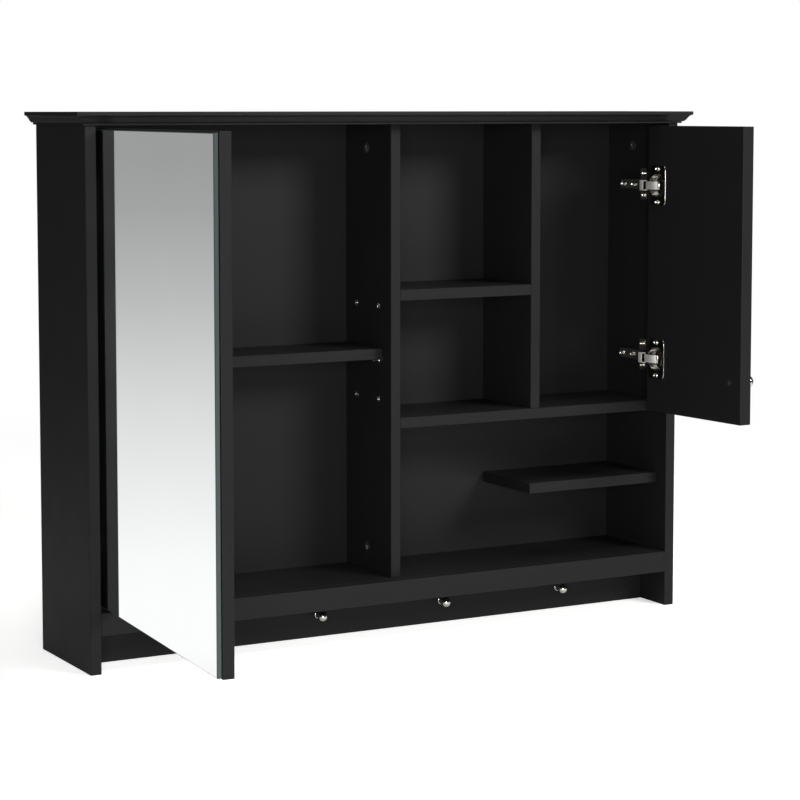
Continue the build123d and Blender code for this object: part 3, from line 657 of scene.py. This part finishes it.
def hinge_cup(name, panel, made):
    """The drawn steel cup and its flange.  The point at turn t of a row is
    centre + r(t) (cos t along + sin t up) + height inward, where r is a circle's radius,
    or the distance to the flange's rounded outline less an inset."""
    along, inward = door_axes(panel)
    up = np.array([0.0, 0.0, 1.0])
    co = corners_of(name)
    span = [((co @ axis).min(), (co @ axis).max()) for axis in (along, up, inward)]
    half_w = (span[0][1] - span[0][0]) / 2
    half_h = (span[1][1] - span[1][0]) / 2
    top, foot = span[2][1], span[2][0]
    look = bpy.context.scene.cabinet_hinges
    face = top - look.flange
    rows = cup_rows(look.cup / 2, look.wall, face - foot, look.flange, look.rim)
    t = np.linspace(0, 2 * math.pi, look.segments, endpoint=False)
    power = FLANGE_SQUARENESS
    outline = ((np.abs(np.cos(t)) / half_w) ** power
               + (np.abs(np.sin(t)) / half_h) ** power) ** (-1 / power)
    radii = np.where(rows[:, :1] > 0.5, outline[None] - rows[:, 1:2], rows[:, 1:2])
    centre = (along * sum(span[0]) / 2 + up * sum(span[1]) / 2 + inward * face)
    ring = np.cos(t)[:, None] * along + np.sin(t)[:, None] * up
    grid = (centre + radii[1:-1, :, None] * ring[None] + rows[1:-1, 2, None, None] * inward)
    poles = centre + rows[[0, -1], 2, None] * inward
    points = np.concatenate([grid.reshape(-1, 3), poles])
    count = len(grid) * look.segments
    i = np.arange(look.segments)
    j = (i + 1) % look.segments
    last = count - look.segments
    turn = -1 if np.cross(along, up) @ inward > 0 else 1
    quads = strip_faces(len(grid), look.segments, True)[:, ::turn]
    floor = np.stack([np.full(look.segments, count), j, i], -1)[:, ::turn]
    under = np.stack([np.full(look.segments, count + 1), last + i, last + j], -1)[:, ::turn]
    piece = mesh_piece(f"drawn_{name}", points, [(quads, 0), (floor, 0), (under, 0)],
                       [made], body_of(name), 40.0)
    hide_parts(name)


class CABINET_OT_hinges(Operator):
    """Draws the hinge cups, rounds the arms, links, plates and pin sleeves, and plates
    them and the screws"""
    bl_idname = "cabinet.hinges"
    bl_label = "Hinges"

    def execute(self, context):
        # smooth plate on the cup, mounting plate and rest of the arm: it mirrors the boards
        polished = plated_metal("bright nickel plated steel", "#a9a7a2", "#8f8d89",
                                0.1, 0.2, 9.0, 0.006)
        # satin plate on the arm's nose and the link's cheeks: pale and matt. The matt finish is
        # real; the pale colour is a painted highlight, a lit copy of the arm's plating on the
        # parts the light falls on
        satin = plated_metal("satin nickel plated steel with painted highlight", "#f2f0ec", "#e2e0dc",
                             0.62, 0.75, 3.0, 0.02)
        look = context.scene.cabinet_hinges
        # screw heads and pin sleeves: brighter and smoother than the satin parts
        bright = plated_metal("bright plated steel", "#d6d4cf", "#c2bfb9",
                              0.14, 0.26, 9.0, 0.01)
        finish_nodes([n for n in frame["nodes"] if "hinge" in n and n.endswith("screws")],
                     bright)
        finish_nodes(["door_knob_screw"], bright)
        for side in ("left", "right"):
            for level in ("lower", "upper"):
                name = f"{side}_{level}_hinge"
                hinge_cup(f"{name}_cup", f"{side}_door_panel", polished)
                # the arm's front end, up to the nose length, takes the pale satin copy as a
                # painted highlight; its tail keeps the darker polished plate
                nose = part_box(f"{name}_arm")[0].y + look.nose
                rounded_copy(f"{name}_arm", f"pressed_{name}_arm", look.edge,
                             [polished, satin], lambda at, _: int(at.y < nose))
                # the link's faces turned to left or right take the pale satin copy: a painted
                # highlight on the sides the light falls on
                rounded_copy(f"{name}_link", f"pressed_{name}_link", look.edge,
                             [polished, satin],
                             lambda _, facing: int(abs(facing.x) > 0.8))
                rounded_copy(f"{name}_plate", f"pressed_{name}_plate", look.edge,
                             [polished], lambda *_: 0)
        rounded_copy("shelf_pin_sleeves", "pressed_shelf_pin_sleeves", look.edge,
                     [bright], lambda *_: 0)
        return {"FINISHED"}


class CABINET_OT_fixings(Operator):
    """Finishes the cams, bolts, screws, tacks, shelf pins and dowels"""
    bl_idname = "cabinet.fixings"
    bl_label = "Fixings"

    def execute(self, context):
        # as cast: dull and a little mottled
        zinc = plated_metal("die-cast zinc", "#8a8b8d", "#6c6d70", 0.3, 0.45, 1.2, 0.03)
        rounded_copy("cam_locks", "cast_cam_locks", context.scene.cabinet_fixings.cam_edge,
                     [zinc], lambda *_: 0)
        # passivated zinc: a cold grey, sharper than the castings
        plated = plated_metal("zinc plated steel", "#a9abae", "#8f9296", 0.12, 0.24, 2.0, 0.01)
        finish_nodes(["cam_bolts", "back_tacks", "towel_knob_screws", "shelf_pins"], plated)
        finish_nodes(["wood_dowels", "rail_dowels"], beech())
        return {"FINISHED"}


def soft_light(name, target, azimuth, elevation, distance, width, height, power):
    """A rectangular area light that faces the target from an azimuth (0 in front, 90 at
    the right) and elevation in degrees."""
    lamp = bpy.data.lights.new(name, "AREA")
    lamp.shape = "RECTANGLE"
    lamp.size = width
    lamp.size_y = height
    lamp.energy = power
    a, e = math.radians(azimuth), math.radians(elevation)
    back = Vector((math.sin(a) * math.cos(e), -math.cos(a) * math.cos(e), math.sin(e)))
    light = bpy.data.objects.new(name, lamp)
    light.location = target + back * distance
    light.rotation_euler = (-back).to_track_quat("-Z", "Y").to_euler()
    bpy.context.scene.collection.objects.link(light)


def studio_world():
    """A dim grey room with white paper behind everything, and for a flat mirror a
    backdrop that runs from white low down to grey at eye level."""
    world = bpy.data.worlds.new("studio")
    bpy.context.scene.world = world
    world.use_nodes = True
    tree = world.node_tree
    tree.nodes.clear()
    rays = node(tree, "ShaderNodeLightPath", {})
    towards = node(tree, "ShaderNodeTexCoord", {}).outputs["Generated"]
    rise = node(tree, "ShaderNodeSeparateXYZ", {}, Vector=towards).outputs["Z"]
    lowest = BACKDROP_TONES[0][0]
    share = node(tree, "ShaderNodeMapRange", {"From Min": -lowest, "From Max": 0.0}, Value=rise)
    ramp = node(tree, "ShaderNodeValToRGB", {}, Fac=share.outputs["Result"])
    stops = ramp.color_ramp.elements
    stops.remove(stops[1])
    stops[0].color = (*linear(BACKDROP_TONES[0][1]), 1)
    for drop, shade in BACKDROP_TONES[1:]:
        stops.new(1.0 - drop / lowest).color = (*linear(shade), 1)
    room = node(tree, "ShaderNodeBackground",
                {"Color": (0.5, 0.5, 0.5, 1), "Strength": ROOM_STRENGTH})
    graded = node(tree, "ShaderNodeBackground", {"Strength": BACKDROP_STRENGTH},
                  Color=ramp.outputs["Color"])
    paper = node(tree, "ShaderNodeBackground", {"Color": (1, 1, 1, 1), "Strength": 1.0})
    mirrored = node(tree, "ShaderNodeMixShader", {}, _0=rays.outputs["Is Singular Ray"],
                    _1=room.outputs[0], _2=graded.outputs[0])
    mixed = node(tree, "ShaderNodeMixShader", {}, _0=rays.outputs["Is Camera Ray"],
                 _1=mirrored.outputs[0], _2=paper.outputs[0])
    node(tree, "ShaderNodeOutputWorld", {}, Surface=mixed.outputs[0])


def pale_floor(colour_value, middle, foot):
    """A round pale floor that thins out to nothing at its rim and leaves a flat mirror
    the backdrop alone."""
    radius = FLOOR_RADIUS
    made, tree, shader = material("pale painted floor", {"Roughness": 0.7})
    shader.inputs["Base Color"].default_value = (*colour_value, 1)
    shader.inputs["Emission Color"].default_value = (1, 1, 1, 1)
    rays = node(tree, "ShaderNodeLightPath", {})
    glow = node(tree, "ShaderNodeMath", {"operation": "MULTIPLY", 1: FLOOR_GLOW},
                _0=rays.outputs["Is Camera Ray"])
    tree.links.new(glow.outputs[0], shader.inputs["Emission Strength"])
    where = node(tree, "ShaderNodeTexCoord", {}).outputs["Object"]
    centred = node(tree, "ShaderNodeMapping", {
        "Location": (-middle.x / radius, -middle.y / radius, -foot / radius),
        "Scale": (1 / radius,) * 3}, Vector=where).outputs["Vector"]
    reach = node(tree, "ShaderNodeVectorMath", {"operation": "LENGTH"}, _0=centred)
    solid = node(tree, "ShaderNodeMapRange", {
        "interpolation_type": "SMOOTHSTEP", "From Min": FLOOR_FADE[0], "From Max": FLOOR_FADE[1],
        "To Min": 1.0, "To Max": 0.0}, Value=reach.outputs["Value"])
    unseen = node(tree, "ShaderNodeMath", {"operation": "SUBTRACT", "use_clamp": True},
                  _0=solid.outputs["Result"], _1=rays.outputs["Is Singular Ray"])
    tree.links.new(unseen.outputs[0], shader.inputs["Alpha"])
    t = np.linspace(0, 2 * math.pi, FLOOR_CORNERS, endpoint=False)
    rim = np.stack([middle.x + radius * np.cos(t), middle.y + radius * np.sin(t),
                    np.full(FLOOR_CORNERS, foot)], -1)
    mesh = bpy.data.meshes.new("floor")
    mesh.from_pydata(rim.tolist(), [], [list(range(FLOOR_CORNERS))])
    mesh.materials.append(made)
    floor = bpy.data.objects.new("floor", mesh)
    bpy.context.scene.collection.objects.link(floor)


class CABINET_OT_stage(Operator):
    """Makes the pale floor, the soft lights and the camera"""
    bl_idname = "cabinet.stage"
    bl_label = "Stage"

    def execute(self, context):
        look = context.scene.cabinet_stage
        low, high = CAD_BOX
        middle = (low + high) / 2
        studio_world()
        pale_floor(look.floor_colour, middle, low.z - FLOOR_GAP)
        soft_light("key softbox", middle, *KEY_PLACE, look.key_power)
        soft_light("fill softbox", middle, *FILL_PLACE, look.fill_power)
        soft_light("top softbox", middle, *TOP_PLACE, look.top_power)

        lens = bpy.data.cameras.new("camera")
        lens.lens = CAMERA_LENS
        lens.shift_x, lens.shift_y = CAMERA_SHIFT
        camera = bpy.data.objects.new("camera", lens)
        camera.location = CAMERA_PLACE
        camera.rotation_euler = (math.radians(90.0 + CAMERA_PITCH_DEG), 0.0, CAMERA_TURN)
        context.scene.collection.objects.link(camera)
        context.scene.camera = camera
        context.scene.view_settings.view_transform = "Standard"
        return {"FINISHED"}


OPERATORS = (CABINET_OT_boards, CABINET_OT_moulded_top, CABINET_OT_mirror, CABINET_OT_knobs,
             CABINET_OT_hinges, CABINET_OT_fixings, CABINET_OT_stage)
GROUPS = (("cabinet_finish", CabinetFinish), ("cabinet_top", CabinetTop),
          ("cabinet_mirror", CabinetMirror), ("cabinet_knobs", CabinetKnobs),
          ("cabinet_hinges", CabinetHinges), ("cabinet_fixings", CabinetFixings),
          ("cabinet_stage", CabinetStage))


class CABINET_PT_panel(Panel):
    """Lists the cabinet's pieces and their sizes"""
    bl_idname = "CABINET_PT_panel"
    bl_label = "Wall cabinet"
    bl_space_type = "VIEW_3D"
    bl_region_type = "UI"
    bl_category = "Cabinet"

    def draw(self, context):
        for operator in OPERATORS:
            self.layout.operator(operator.bl_idname)
        for name, group in GROUPS:
            settings = self.layout.box()
            for key in group.__annotations__:
                settings.prop(getattr(context.scene, name), key)


def register():
    for name, group in GROUPS:
        bpy.utils.register_class(group)
        setattr(bpy.types.Scene, name, PointerProperty(type=group))
    for cls in (*OPERATORS, CABINET_PT_panel):
        bpy.utils.register_class(cls)


def unregister():
    for cls in (CABINET_PT_panel, *reversed(OPERATORS)):
        bpy.utils.unregister_class(cls)
    for name, group in reversed(GROUPS):
        delattr(bpy.types.Scene, name)
        bpy.utils.unregister_class(group)


def main():
    register()
    for operator in OPERATORS:
        getattr(bpy.ops.cabinet, operator.bl_idname.split(".")[1])()


if __name__ == "__main__":
    main()
